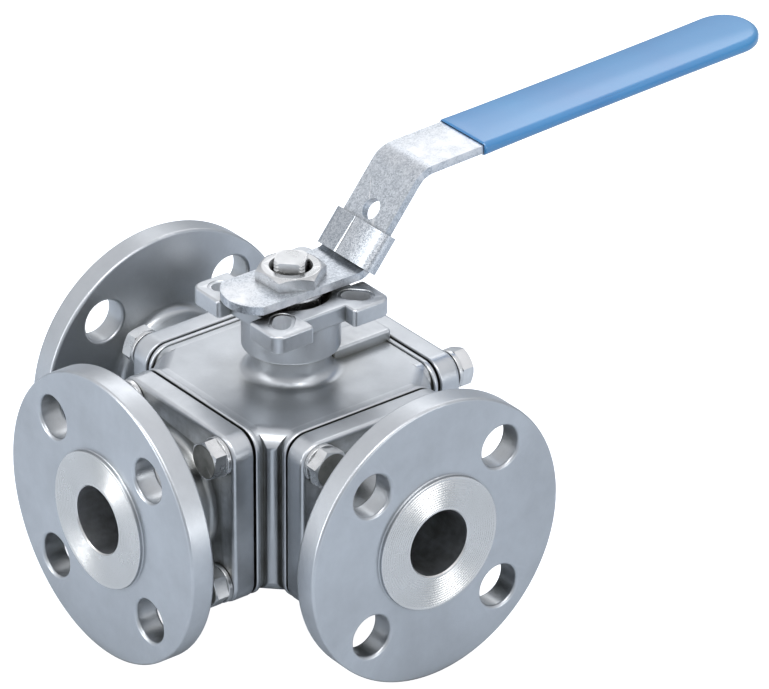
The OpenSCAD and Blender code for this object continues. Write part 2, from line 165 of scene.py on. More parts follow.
def addStudio(s):
    bm = bmesh.new()
    bmesh.ops.create_grid(bm, x_segments=1, y_segments=1, size=s["floorSize"])
    bmesh.ops.translate(bm, vec=(0, 0, -s["floorDrop"]), verts=bm.verts)
    floorMesh = bpy.data.meshes.new("floor")
    bm.to_mesh(floorMesh)
    bm.free()
    floor = bpy.data.objects.new("floor", floorMesh)
    scene.collection.objects.link(floor)
    paper = bpy.data.materials.new("paper")
    paper.use_nodes = True
    shader = paper.node_tree.nodes["Principled BSDF"]
    shader.inputs["Base Color"].default_value = s["floorColour"]
    shader.inputs["Roughness"].default_value = s["floorRough"]
    shader.inputs["Specular IOR Level"].default_value = s["floorShine"]
    shader.inputs["Emission Color"].default_value = (1, 1, 1, 1)
    path = paper.node_tree.nodes.new("ShaderNodeLightPath")
    glow = mathNode(paper.node_tree, "MULTIPLY", path.outputs["Is Camera Ray"], s["floorGlow"])
    paper.node_tree.links.new(glow, shader.inputs["Emission Strength"])
    floorMesh.materials.append(paper)
    for name, place, size, power, aim in s["lamps"]:
        data = bpy.data.lights.new(name, "AREA")
        data.shape = "RECTANGLE"
        data.size, data.size_y = size
        data.energy = power
        lamp = bpy.data.objects.new(name, data)
        scene.collection.objects.link(lamp)
        lamp.location = place
        lamp.visible_camera = False
        lamp.rotation_euler = (Vector(place) - Vector(aim)).to_track_quat("Z", "Y").to_euler()
    world = bpy.data.worlds.new("studioWorld")
    scene.world = world
    world.use_nodes = True
    tree = world.node_tree
    background = tree.nodes["Background"]
    background.inputs["Strength"].default_value = s["worldStrength"]
    coords = tree.nodes.new("ShaderNodeTexCoord")
    split = tree.nodes.new("ShaderNodeSeparateXYZ")
    ramp = tree.nodes.new("ShaderNodeValToRGB")
    ramp.color_ramp.elements[0].color = s["worldSide"]
    ramp.color_ramp.elements[1].color = s["worldTop"]
    ramp.color_ramp.elements[1].position = s["worldBlend"]
    tree.links.new(coords.outputs["Generated"], split.inputs[0])
    tree.links.new(split.outputs["Z"], ramp.inputs["Fac"])
    tree.links.new(ramp.outputs["Color"], background.inputs["Color"])


addCamera(view)
addStudio(studio)
scene.view_settings.view_transform = "Standard"
scene.view_settings.look = "None"
print("camera, floor and light are in place")


# Shader node groups

grain = {
    "fineSize": 900.0, "dentSize": 70.0, "mottleSize": 33.0, "fineShare": 0.3, "dentShare": 0.9,
    "pitSize": 140.0, "patchSize": 48.0, "pits": 0.3,
}


def makeGrain(g):
    # Fine blasted grain with soft dents, and shallow pits here and there
    group, start, end = newGroup(
        "castGrain",
        [
            ("Grain Size", "Float", g["fineSize"]),
            ("Dent Size", "Float", g["dentSize"]),
            ("Pits", "Float", g["pits"]),
        ],
        [("Height", "Float"), ("Mottle", "Float")],
    )
    coords = group.nodes.new("ShaderNodeTexCoord").outputs["Object"]
    fine = noiseNode(group, coords, start.outputs["Grain Size"], 3.0, 0.6)
    dents = noiseNode(group, coords, start.outputs["Dent Size"], 2.0, 0.5)
    mottle = noiseNode(group, coords, g["mottleSize"], 5.0, 0.62)
    cells = group.nodes.new("ShaderNodeTexVoronoi")
    cells.inputs["Scale"].default_value = g["pitSize"]
    group.links.new(coords, cells.inputs["Vector"])
    patches = rangeNode(group, noiseNode(group, coords, g["patchSize"], 2.0), 0.6, 0.7, 0.0, 1.0)
    spots = rangeNode(group, cells.outputs["Distance"], 0.08, 0.26, 1.0, 0.0)
    pits = mathNode(group, "MULTIPLY", mathNode(group, "MULTIPLY", spots, patches), start.outputs["Pits"])
    fine = mathNode(group, "MULTIPLY", fine, g["fineShare"])
    dents = mathNode(group, "MULTIPLY", dents, g["dentShare"])
    height = mathNode(group, "ADD", fine, dents)
    group.links.new(mathNode(group, "SUBTRACT", height, pits), end.inputs["Height"])
    group.links.new(mottle, end.inputs["Mottle"])
    return group


def finishMask(group, start, end, mask, broken):
    # The mask, broken up by noise and scaled by the group's amount
    uneven = mathNode(group, "MULTIPLY", mask, broken)
    whole = mathNode(group, "MULTIPLY", uneven, start.outputs["Amount"], True)
    group.links.new(whole, end.inputs["Mask"])


def makePaintedShade():
    # Painted shade: where two faces close in on each other, ambient occlusion paints the steel darker and
    # browner
    group, start, end = newGroup(
        "aoPaintedShade",
        [("Reach", "Float", 0.006), ("Onset", "Float", 0.8), ("Amount", "Float", 1.0)],
        [("Mask", "Float")],
    )
    shade = group.nodes.new("ShaderNodeAmbientOcclusion")
    shade.samples = 8
    group.links.new(start.outputs["Reach"], shade.inputs["Distance"])
    coords = group.nodes.new("ShaderNodeTexCoord").outputs["Object"]
    broken = rangeNode(group, noiseNode(group, coords, 130.0, 4.0), 0.3, 0.7, 0.75, 1.15)
    closed = rangeNode(group, shade.outputs["AO"], 0.2, start.outputs["Onset"], 1.0, 0.0)
    finishMask(group, start, end, closed, broken)
    return group


def makeEdgeWearAndHighlight():
    # Edge wear and painted highlight: high where the surface turns sharply outwards, so edges are painted
    # bright
    group, start, end = newGroup("edgeWearAndHighlight", [("Amount", "Float", 1.0)], [("Mask", "Float")])
    point = group.nodes.new("ShaderNodeNewGeometry").outputs["Pointiness"]
    coords = group.nodes.new("ShaderNodeTexCoord").outputs["Object"]
    broken = rangeNode(group, noiseNode(group, coords, 220.0, 4.0), 0.35, 0.65, 0.45, 1.0)
    sharp = rangeNode(group, point, 0.51, 0.58, 0.0, 1.0)
    finishMask(group, start, end, sharp, broken)
    return group


def makeSpeckle():
    # Tumbled sheet: close flat facets of different brightness
    group, start, end = newGroup("tumbledSpeckle", [("Size", "Float", 700.0)], [("Speckle", "Float")])
    coords = group.nodes.new("ShaderNodeTexCoord").outputs["Object"]
    cells = group.nodes.new("ShaderNodeTexVoronoi")
    group.links.new(coords, cells.inputs["Vector"])
    group.links.new(start.outputs["Size"], cells.inputs["Scale"])
    facets = group.nodes.new("ShaderNodeRGBToBW")
    group.links.new(cells.outputs["Color"], facets.inputs[0])
    facets = mathNode(group, "MULTIPLY", facets.outputs[0], 0.6)
    soft = mathNode(group, "MULTIPLY", noiseNode(group, coords, 620.0, 4.0), 0.4)
    group.links.new(mathNode(group, "ADD", facets, soft), end.inputs["Speckle"])
    return group


castGrain = makeGrain(grain)
aoPaintedShade = makePaintedShade()
edgeWearAndHighlight = makeEdgeWearAndHighlight()
tumbledSpeckle = makeSpeckle()

# Materials


def useGroup(tree, group, **values):
    node = tree.nodes.new("ShaderNodeGroup")
    node.node_tree = group
    for label, value in values.items():
        node.inputs[label].default_value = value
    return node


def startMaterial(name, **sockets):
    material = bpy.data.materials.new(name)
    material.use_nodes = True
    tree = material.node_tree
    shader = tree.nodes["Principled BSDF"]
    for label, value in sockets.items():
        shader.inputs[label.replace("_", " ")].default_value = value
    return material, tree, shader


def addBump(tree, shader, look, height):
    bump = tree.nodes.new("ShaderNodeBump")
    bump.inputs["Strength"].default_value = look["bump"]
    bump.inputs["Distance"].default_value = look["bumpDepth"]
    tree.links.new(height, bump.inputs["Height"])
    tree.links.new(bump.outputs["Normal"], shader.inputs["Normal"])


def darkToPale(tree, look, value, low, high):
    return mixColour(tree, rangeNode(tree, value, low, high, 0.0, 1.0), look["dark"], look["pale"])


def addEdgeBrighteningAndShade(tree, shader, look, colour):
    # Edges are painted bright, partly as wear and partly as a painted highlight, and crevices get painted
    # shade
    wornAndHighlitEdges = useGroup(tree, edgeWearAndHighlight, Amount=look["edgeBrightAmount"])
    creaseShade = useGroup(tree, aoPaintedShade, Reach=look["creaseShadeReach"], Amount=look["creaseShadeAmount"])
    colour = mixColour(tree, wornAndHighlitEdges.outputs["Mask"], colour, look["rubbedAndHighlit"])
    colour = mixColour(tree, creaseShade.outputs["Mask"], colour, look["creaseShade"])
    tree.links.new(colour, shader.inputs["Base Color"])


def addRoughness(tree, shader, look, value):
    rough = mathNode(tree, "MULTIPLY", value, look["roughSpread"])
    tree.links.new(mathNode(tree, "ADD", rough, look["roughLeast"]), shader.inputs["Roughness"])


# The hollow and crease colours are painted shade, laid on where faces close in; the rubbed colour is edge
# wear and a painted highlight
castLook = {
    "pale": (0.62, 0.65, 0.685, 1), "dark": (0.50, 0.525, 0.555, 1), "metallic": 1.0,
    "hollowShade": (0.27, 0.265, 0.235, 1), "hollowShadeReach": 0.045, "hollowShadeOnset": 0.58, "hollowShadeAmount": 0.8,
    "creaseShade": (0.13, 0.125, 0.105, 1), "creaseShadeReach": 0.007, "creaseShadeAmount": 0.85,
    "rubbedAndHighlit": (0.84, 0.86, 0.89, 1), "edgeBrightAmount": 0.9,
    "roughLow": 0.29, "roughHigh": 0.42, "bump": 0.35, "bumpDepth": 0.0003,
}


def castSteelMaterial(name, look):
    material, tree, shader = startMaterial(name, Metallic=look["metallic"])
    cast = useGroup(tree, castGrain)
    # Painted shade: a long occlusion reach darkens hollows and the space between parts towards olive
    hollowShadeNode = useGroup(
        tree, aoPaintedShade,
        Reach=look["hollowShadeReach"], Onset=look["hollowShadeOnset"], Amount=look["hollowShadeAmount"],
    )
    colour = darkToPale(tree, look, cast.outputs["Mottle"], 0.3, 0.7)
    colour = mixColour(tree, hollowShadeNode.outputs["Mask"], colour, look["hollowShade"])
    addEdgeBrighteningAndShade(tree, shader, look, colour)
    rough = rangeNode(tree, cast.outputs["Mottle"], 0.3, 0.7, look["roughHigh"], look["roughLow"])
    tree.links.new(rough, shader.inputs["Roughness"])
    addBump(tree, shader, look, cast.outputs["Height"])
    return material


machinedLook = {
    "pale": (0.78, 0.79, 0.80, 1), "dark": (0.58, 0.59, 0.60, 1), "smearSize": 60.0, "fineSize": 1500.0,
    "creaseShade": (0.10, 0.095, 0.085, 1), "creaseShadeReach": 0.004, "creaseShadeAmount": 0.9,
    "rubbedAndHighlit": (0.93, 0.94, 0.95, 1), "edgeBrightAmount": 0.8,
    "roughLeast": 0.18, "roughSpread": 0.2, "bump": 0.2, "bumpDepth": 0.0001,
}
turnedLook = dict(
    machinedLook, pale=(0.76, 0.76, 0.755, 1), dark=(0.70, 0.70, 0.69, 1), creaseShade=(0.56, 0.56, 0.54, 1),
    rubbedAndHighlit=(0.86, 0.86, 0.86, 1), roughLeast=0.16,
)
# Bolt head tops: a far darker copy of the machined steel than the rest of the head
darkHeadTopLook = dict(
    machinedLook, pale=(0.40, 0.40, 0.38, 1), dark=(0.13, 0.13, 0.12, 1), creaseShade=(0.07, 0.07, 0.06, 1),
    rubbedAndHighlit=(0.70, 0.70, 0.68, 1), roughLeast=0.32,
)


def machinedSteelMaterial(name, look):
    material, tree, shader = startMaterial(name, Metallic=1.0)
    coords = tree.nodes.new("ShaderNodeTexCoord").outputs["Object"]
    smear = noiseNode(tree, coords, look["smearSize"], 5.0)
    addEdgeBrighteningAndShade(tree, shader, look, darkToPale(tree, look, smear, 0.35, 0.65))
    addRoughness(tree, shader, look, smear)
    addBump(tree, shader, look, noiseNode(tree, coords, look["fineSize"], 2.0))
    return material


sheetLook = {
    "pale": (0.72, 0.76, 0.81, 1), "dark": (0.33, 0.37, 0.42, 1), "speckleSize": 2100.0,
    "creaseShade": (0.16, 0.16, 0.15, 1), "creaseShadeReach": 0.004, "creaseShadeAmount": 0.7,
    "rubbedAndHighlit": (0.90, 0.91, 0.93, 1), "edgeBrightAmount": 0.9,
    "roughLeast": 0.25, "roughSpread": 0.16, "bump": 0.22, "bumpDepth": 0.00012,
}


def sheetSteelMaterial(name, look):
    material, tree, shader = startMaterial(name, Metallic=1.0)
    speckle = useGroup(tree, tumbledSpeckle, Size=look["speckleSize"]).outputs["Speckle"]
    addEdgeBrighteningAndShade(tree, shader, look, darkToPale(tree, look, speckle, 0.2, 0.7))
    addRoughness(tree, shader, look, speckle)
    addBump(tree, shader, look, speckle)
    return material


vinylLook = {
    "pale": (0.008, 0.228, 0.53, 1), "dark": (0.005, 0.188, 0.48, 1),
    "ior": 1.85, "coat": 1.0, "coatRough": 0.14,
    "cloudSize": 22.0, "rippleSize": 90.0, "skinSize": 900.0, "skinShare": 0.12,
    "roughLeast": 0.24, "roughSpread": 0.14, "bump": 0.3, "bumpDepth": 0.0003,
}


def vinylMaterial(name, look):
    material, tree, shader = startMaterial(
        name, IOR=look["ior"], Coat_Weight=look["coat"], Coat_Roughness=look["coatRough"],
    )
    coords = tree.nodes.new("ShaderNodeTexCoord").outputs["Object"]
    cloud = noiseNode(tree, coords, look["cloudSize"], 3.0)
    ripple = noiseNode(tree, coords, look["rippleSize"], 3.0)
    skin = mathNode(tree, "MULTIPLY", noiseNode(tree, coords, look["skinSize"], 2.0), look["skinShare"])
    tree.links.new(darkToPale(tree, look, cloud, 0.35, 0.65), shader.inputs["Base Color"])
    addRoughness(tree, shader, look, cloud)
    addBump(tree, shader, look, mathNode(tree, "ADD", ripple, skin))
    return material


plasticLook = {
    "pale": (0.80, 0.79, 0.74, 1), "dark": (0.70, 0.69, 0.64, 1), "cloudSize": 120.0, "skinSize": 1400.0,
    "roughLeast": 0.35, "roughSpread": 0.2, "bump": 0.2, "bumpDepth": 0.0001,
}
rubberLook = dict(plasticLook, pale=(0.03, 0.03, 0.034, 1), dark=(0.02, 0.02, 0.022, 1), roughLeast=0.5)


def sealMaterial(name, look):
    material, tree, shader = startMaterial(name)
    coords = tree.nodes.new("ShaderNodeTexCoord").outputs["Object"]
    cloud = noiseNode(tree, coords, look["cloudSize"], 4.0)
    tree.links.new(darkToPale(tree, look, cloud, 0.35, 0.65), shader.inputs["Base Color"])
    addRoughness(tree, shader, look, cloud)
    addBump(tree, shader, look, noiseNode(tree, coords, look["skinSize"], 2.0))
    return material


# A lit copy of the cast steel for the slot walls: hardly any painted shade and partly diffuse, so the walls
# read lighter
litSlotSteel = castSteelMaterial("litSlotSteel", dict(castLook, creaseShadeAmount=0.1, hollowShadeAmount=0.1, metallic=0.35))
turnedSteel = machinedSteelMaterial("turnedSteel", turnedLook)
darkHeadTopSteel = machinedSteelMaterial("darkHeadTopSteel", darkHeadTopLook)
rolledSteel = sheetSteelMaterial("rolledSteel", dict(sheetLook, roughLeast=0.19, bump=0.12))
bySlot = {
    "cast_steel": castSteelMaterial("castSteel", castLook),
    "machined_steel": machinedSteelMaterial("machinedSteel", machinedLook),
    "sheet_steel": sheetSteelMaterial("sheetSteel", sheetLook),
    "grip_vinyl": vinylMaterial("blueVinyl", vinylLook),
    "seal_plastic": sealMaterial("whiteSeal", plasticLook),
    "seal_rubber": sealMaterial("blackRubber", rubberLook),
}
for part in frame["record"]["subparts"]:
    cadMesh = nodes[part["node"]].data
    cadMesh.materials.clear()
    cadMesh.materials.append(bySlot[part["material_slot"]])
print("materials are made")

# Modelling helpers: each gives a closed mesh in millimetres


def roundCorner(bm, vert, radius, segments=5):
    bmesh.ops.bevel(
        bm, geom=[vert], affect="VERTICES", offset=radius, offset_type="OFFSET",
        segments=segments, profile=0.5, material=-1,
    )


def roundEdges(bm, edges, radius, segments=3):
    bmesh.ops.bevel(
        bm, geom=edges, affect="EDGES", offset=radius, offset_type="OFFSET",
        segments=segments, profile=0.5, material=-1, clamp_overlap=True,
    )


def toDraft(bm, place=None):
    bmesh.ops.remove_doubles(bm, verts=bm.verts, dist=0.0002)
    bmesh.ops.recalc_face_normals(bm, faces=bm.faces)
    if place is not None:
        bmesh.ops.transform(bm, matrix=place, verts=bm.verts)
    mesh = bpy.data.meshes.new("draft")
    bm.to_mesh(mesh)
    bm.free()
    draft = bpy.data.objects.new("draft", mesh)
    scene.collection.objects.link(draft)
    return draft


# A turned shape round Z. Each point is radius, height and, where its corner is rounded, a radius
def turned(points, steps=64, place=None):
    bm = bmesh.new()
    verts = [bm.verts.new((point[0], 0, point[1])) for point in points]
    for first, second in zip(verts, verts[1:]):
        bm.edges.new((first, second))
    if points[0][0] > 0:
        bm.edges.new((verts[-1], verts[0]))
    for vert, point in zip(verts, points):
        if len(point) > 2:
            roundCorner(bm, vert, point[2])
    bmesh.ops.spin(
        bm, geom=bm.edges[:] + bm.verts[:], cent=(0, 0, 0), axis=(0, 0, 1),
        angle=2 * pi, steps=steps, use_merge=True, use_duplicate=False,
    )
    return toDraft(bm, place)


# A flat plate in X and Y with rounded corners, from one height to another, its top and bottom edges rounded.
# Corners are given in the order -X-Y, +X-Y, -X+Y, +X+Y
def slab(width, length, corners, low, high, lowEdge=0, highEdge=0, place=None, cornerSteps=8, edgeSteps=3):
    bm = bmesh.new()
    bmesh.ops.create_grid(bm, x_segments=1, y_segments=1, size=0.5)
    bmesh.ops.scale(bm, vec=(width, length, 1), verts=bm.verts)
    bmesh.ops.translate(bm, vec=(0, 0, low), verts=bm.verts)
    if isinstance(corners, (int, float)):
        corners = (corners,) * 4
    for vert, radius in zip(list(bm.verts), corners):
        if radius:
            roundCorner(bm, vert, radius, cornerSteps)
    grown = bmesh.ops.extrude_face_region(bm, geom=bm.faces[:])["geom"]
    raised = [item for item in grown if isinstance(item, bmesh.types.BMVert)]
    bmesh.ops.translate(bm, vec=(0, 0, high - low), verts=raised)
    bmesh.ops.recalc_face_normals(bm, faces=bm.faces)
    for height, radius in ((low, lowEdge), (high, highEdge)):
        if radius:
            around = [e for e in bm.edges if all(abs(v.co.z - height) < 0.001 for v in e.verts)]
            roundEdges(bm, around, radius, edgeSteps)
    return toDraft(bm, place)


def hexagon(acrossFlats, low, high, turn=0.0):
    bm = bmesh.new()
    radius = acrossFlats / 2 / cos(pi / 6)
    bmesh.ops.create_cone(
        bm, cap_ends=True, cap_tris=False, segments=6, radius1=radius, radius2=radius, depth=high - low,
    )
    bmesh.ops.translate(bm, vec=(0, 0, (low + high) / 2), verts=bm.verts)
    return toDraft(bm, Matrix.Rotation(pi / 6 + turn, 4, "Z"))


# Joins, cuts or keeps what two or more drafts share
def combine(base, operation, *tools):
    for tool in tools:
        modifier = base.modifiers.new("shape", "BOOLEAN")
        modifier.operation = operation
        modifier.solver = "MANIFOLD"
        modifier.object = tool
    graph = bpy.context.evaluated_depsgraph_get()
    mesh = bpy.data.meshes.new_from_object(base.evaluated_get(graph))
    base.modifiers.clear()
    base.data = mesh
    for tool in tools:
        bpy.data.objects.remove(tool)
    return base


# A plain round bar round Z, to cut or to keep with
def rod(radius, low, high, steps=64, place=None):
    return turned([(0, low), (radius, low), (radius, high), (0, high)], steps, place)


def copyDraft(draft, place):
    twin = bpy.data.objects.new("draft", draft.data.copy())
    twin.data.transform(place)
    scene.collection.objects.link(twin)
    return twin


# Gives the faces that pass a test a second material
def paintFaces(draft, slotName, accent, test):
    mesh = draft.data
    mesh.materials.clear()
    mesh.materials.append(bySlot[slotName])
    mesh.materials.append(accent)
    for face in mesh.polygons:
        face.material_index = 1 if test(face.center, face.normal) else 0


def gather(drafts):
    bm = bmesh.new()
    materials = list(drafts[0].data.materials)
    for draft in drafts:
        bm.from_mesh(draft.data)
        bpy.data.objects.remove(draft)
    whole = toDraft(bm)
    for material in materials:
        whole.data.materials.append(material)
    return whole


def moved(x, y, z):
    return Matrix.Translation((x, y, z))


def turnedBy(degrees, axis):
    return Matrix.Rotation(radians(degrees), 4, axis)


# Points something built round +Z along a pipe end: 0 is +X, 90 is +Y
def pipeEnd(degrees):
    return turnedBy(degrees, "Z") @ turnedBy(90, "Y")


# Gives a draft its real size, its look and its place in the frame
def finishPiece(
    draft, name, body, slotName, replaced, rounding=0.0, place=None, keepSharp=30, material=None,
):
    mesh = draft.data
    mesh.transform(Matrix.Scale(metres, 4) @ (place or Matrix()))
    bm = bmesh.new()
    bm.from_mesh(mesh)
    bmesh.ops.remove_doubles(bm, verts=bm.verts, dist=0.0000004)
    bmesh.ops.dissolve_degenerate(bm, edges=bm.edges, dist=0.0000004)
    bm.to_mesh(mesh)
    bm.free()
    draft.name = name
    mesh.name = name
    if len(mesh.materials) < 2:
        mesh.materials.clear()
        mesh.materials.append(material or bySlot[slotName])
    mesh.shade_smooth()
    mesh.set_sharp_from_angle(angle=radians(keepSharp))
    if rounding:
        bevel = draft.modifiers.new("rounding", "BEVEL")
        bevel.width = rounding * metres
        bevel.segments = 3
        bevel.limit_method = "ANGLE"
        bevel.angle_limit = radians(keepSharp)
        bevel.use_clamp_overlap = True
        bevel.harden_normals = False
    weighted = draft.modifiers.new("weighted", "WEIGHTED_NORMAL")
    weighted.keep_sharp = True
    weighted.weight = 100
    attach(draft, body)
    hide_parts(*replaced)
    return draft


# Flanged caps

cap = {
    "flangeRadius": 54, "flangeBack": 73.8, "flangeFace": 83.4, "rimRound": 1.1, "stepRound": 0.5,
    "raisedRadius": 25.4, "raisedFace": 85, "raisedRound": 0.35,
    "grooveFrom": 14.2, "grooveTo": 24.7, "groovePitch": 0.95, "grooveDepth": 0.17,
    "boreRadius": 12.5, "boreChamfer": 0.5, "boreEnd": 90,
    "neckRadius": 22, "neckFillet": 4, "neckFoot": 2.6, "neckBase": 27, "neckSink": 0.04,
    "plateIn": 41.3, "plateOut": 50.3, "size": 66.6, "corner": 8, "outerRound": 1.7, "innerRound": 0.8,
    "spigotRadius": 24.4, "spigotTip": 25.2, "spigotRound": 0.5,
    "seatFrom": 20, "seatRadius": 19.05, "seatBack": 28, "seatRound": 0.3,
    "boltCircle": 79.4, "holeRadius": 8, "holeRound": 1.3, "holeSink": 0.03, "holePast": 3,
    "capBoltAt": 25.5, "capBoltHole": 4.3, "capBoltFrom": 38, "capBoltTo": 55,
}


def groovedFace(c):
    # Fine turned grooves across the raised face, from its rim inwards
    points = []
    radius = c["grooveTo"]
    bottom = c["raisedFace"] - c["grooveDepth"]
    while radius > c["grooveFrom"]:
        points += [(radius, c["raisedFace"]), (radius - c["groovePitch"] / 2, bottom)]
        radius -= c["groovePitch"]
    return points + [(radius, c["raisedFace"])]


def plateOf(c):
    plate = slab(
        c["size"], c["size"], c["corner"], c["plateIn"], c["plateOut"], c["innerRound"], c["outerRound"],
        cornerSteps=10, edgeSteps=4,
    )
    spigot = turned([
        (0, c["spigotTip"]), (c["spigotRadius"], c["spigotTip"], c["spigotRound"]),
        (c["spigotRadius"], c["plateIn"] + 3), (0, c["plateIn"] + 3),
    ], 96)
    return combine(plate, "UNION", spigot)


def boltHoles(c):
    at = c["capBoltAt"]
    return [
        rod(c["capBoltHole"], c["capBoltFrom"], c["capBoltTo"], 24, moved(x, y, 0))
        for x in (-at, at) for y in (-at, at)
    ]


def makeFlangedCap(c):
    foot, back, front, face = c["plateOut"] - c["neckSink"], c["flangeBack"], c["flangeFace"], c["raisedFace"]
    neck = turned([
        (0, c["plateIn"] + 2), (c["neckBase"], c["plateIn"] + 2), (c["neckBase"], foot),
        (c["neckRadius"], foot, c["neckFoot"]), (c["neckRadius"], back, c["neckFillet"]),
        (c["flangeRadius"], back, c["rimRound"]), (c["flangeRadius"], front, c["rimRound"]),
        (c["raisedRadius"], front, c["stepRound"]), (c["raisedRadius"], face, c["raisedRound"]),
        *groovedFace(c), (0, face),
    ], 160)
    radius, chamfer = c["boreRadius"], c["boreChamfer"]
    bore = turned([
        (0, c["seatFrom"]), (c["seatRadius"], c["seatFrom"]),
        (c["seatRadius"], c["seatBack"], c["seatRound"]), (radius, c["seatBack"]),
        (radius, face - chamfer), (radius + chamfer * 2, face + chamfer),
        (radius + chamfer * 2, c["boreEnd"]), (0, c["boreEnd"]),
    ], 96)
    radius, flare, sink, past = c["holeRadius"], c["holeRound"], c["holeSink"], c["holePast"]
    wide = radius + flare + 1
    holes = [
        turned([
            (0, back - past), (wide, back - past), (wide, back - sink), (radius, back - sink, flare),
            (radius, front + sink, flare), (wide, front + sink), (wide, front + past), (0, front + past),
        ], 64, turnedBy(a, "Z") @ moved(c["boltCircle"] / 2, 0, 0))
        for a in (45, 135, 225, 315)
    ]
    whole = combine(plateOf(c), "UNION", neck)
    return combine(whole, "DIFFERENCE", bore, *holes, *boltHoles(c))


def onRaisedFace(centre, normal):
    inside = Vector((centre.x, centre.y)).length < cap["raisedRadius"] - 0.1
    return inside and centre.z > cap["raisedFace"] - 0.5


flangedCap = makeFlangedCap(cap)
paintFaces(flangedCap, "cast_steel", turnedSteel, onRaisedFace)
for name, degrees in (("run_cap_left", 180), ("run_cap_right", 0), ("branch_cap", -90)):
    piece = copyDraft(flangedCap, pipeEnd(degrees))
    finishPiece(piece, "flanged_" + name, "housing", "cast_steel", [name])
bpy.data.objects.remove(flangedCap)
pocket = rod(cap["boreRadius"], cap["seatFrom"], cap["plateIn"])
blankCover = combine(plateOf(cap), "DIFFERENCE", pocket, *boltHoles(cap))
finishPiece(blankCover, "blanking_cover", "housing", "cast_steel", ["blank_cover"], place=pipeEnd(90))
print("caps are made")

# Body

block = {
    "reach": 40.3, "rim": 2.0, "rimRound": 0.65, "size": 66.6, "corner": 8,
    "grooveWidth": 2.0, "grooveDepth": 1.5, "top": 32.6, "ribRadius": 3.2,
    "footRadius": 22, "pedestalRadius": 14, "pedestalFillet": 5, "pedestalRound": 0.6,
    "columnFoot": 42.3, "columnRadius": 17.7, "columnRound": 1.2,
    "padTop": 63, "padThick": 7, "padSize": 50.6, "padCorner": 4, "padInnerCorner": 1.4,
    "padRound": 1.1, "padUnderRound": 0.9, "notchWidth": 17.5, "notchDepth": 5.4,
    "slotSmall": 42, "slotLarge": 50, "slotWidth": 6.6, "slotChamfer": 0.3, "slotFrom": 17, "slotTo": 29,
    "recessRadius": 14, "recessFloor": 53.3, "recessChamfer": 0.8, "recessEnd": 70,
    "plateauWidth": 12, "plateauLength": 26, "plateauTop": 37.1, "plateauRound": 1.6, "plateauCorner": 1.2,
    "cavityRadius": 25, "chamberRadius": 24.6, "chamberEnd": 42,
    "collarHole": 10.3, "collarRoof": 31.3, "stemHole": 7.06, "packingFloor": 41.7, "packingHole": 11.05,
}


def bodyCore(b):
    half = b["reach"] - b["rim"] - b["grooveWidth"]
    core = slab(2 * half, 2 * half, b["ribRadius"], -b["top"], b["top"], cornerSteps=10)
    reach = (half - b["ribRadius"]) * 2 ** 0.5 + b["ribRadius"]
    corners = [
        slab(2 * reach, 2 * b["top"] + 0.002, b["corner"], -80, 80, cornerSteps=12,
             place=turnedBy(degrees, "Z") @ turnedBy(90, "X"))
        for degrees in (45, -45)
    ]
    return combine(core, "INTERSECT", *corners)


def bodyEnds(b):
    half = b["reach"] - b["rim"] - b["grooveWidth"]
    narrow = b["size"] - 2 * b["grooveDepth"]
    ends = []
    for degrees in (0, 90, 180, 270):
        ends.append(slab(
            2 * b["top"] + 0.01, narrow, b["corner"] - b["grooveDepth"], half - 1, b["reach"] - 0.5,
            cornerSteps=10, place=pipeEnd(degrees),
        ))
        ends.append(slab(
            b["size"], b["size"], b["corner"], b["reach"] - b["rim"], b["reach"],
            b["rimRound"], b["rimRound"], cornerSteps=10, place=pipeEnd(degrees),
        ))
    return ends


def mountingPad(b):
    low, high = b["padTop"] - b["padThick"], b["padTop"]
    half = b["padSize"] / 2
    web = half - b["notchDepth"]
    lug = half - b["notchWidth"] / 2
    middle = half - lug / 2
    drafts = [slab(2 * web, 2 * web, 1, low + 0.1, high - 0.02, b["padRound"], b["padRound"])]
    r, small = b["padCorner"], b["padInnerCorner"]
    for x, y, corners in (
        (-1, -1, (r, small, small, small)), (1, -1, (small, r, small, small)),
        (-1, 1, (small, small, r, small)), (1, 1, (small, small, small, r)),
    ):
        place = moved(x * middle, y * middle, 0)
        drafts.append(slab(
            lug, lug, corners, low, high, b["padUnderRound"], b["padRound"], place=place, cornerSteps=6,
        ))
    return drafts


def padSlots(b):
    width = b["slotWidth"]
    length = (b["slotLarge"] - b["slotSmall"]) / 2 + width
    middle = (b["slotLarge"] + b["slotSmall"]) / 4
    top = b["padTop"]
    grow = 2 * (b["slotChamfer"] + 1)
    cutters = []
    for degrees in (45, 135, 225, 315):
        place = turnedBy(degrees, "Z") @ moved(middle, 0, 0)
        cutters.append(slab(
            length, width, width / 2 - 0.01, top - b["padThick"] - 1, top + 1, place=place,
        ))
        # a wider cutter, its lower edge sloped, leaves the slot's chamfer
        cutters.append(slab(
            length + grow, width + grow, width / 2 + grow / 2 - 0.01, top - b["slotChamfer"], top + 3,
            lowEdge=b["slotChamfer"] + 0.95, edgeSteps=1, place=place,
        ))
    return cutters


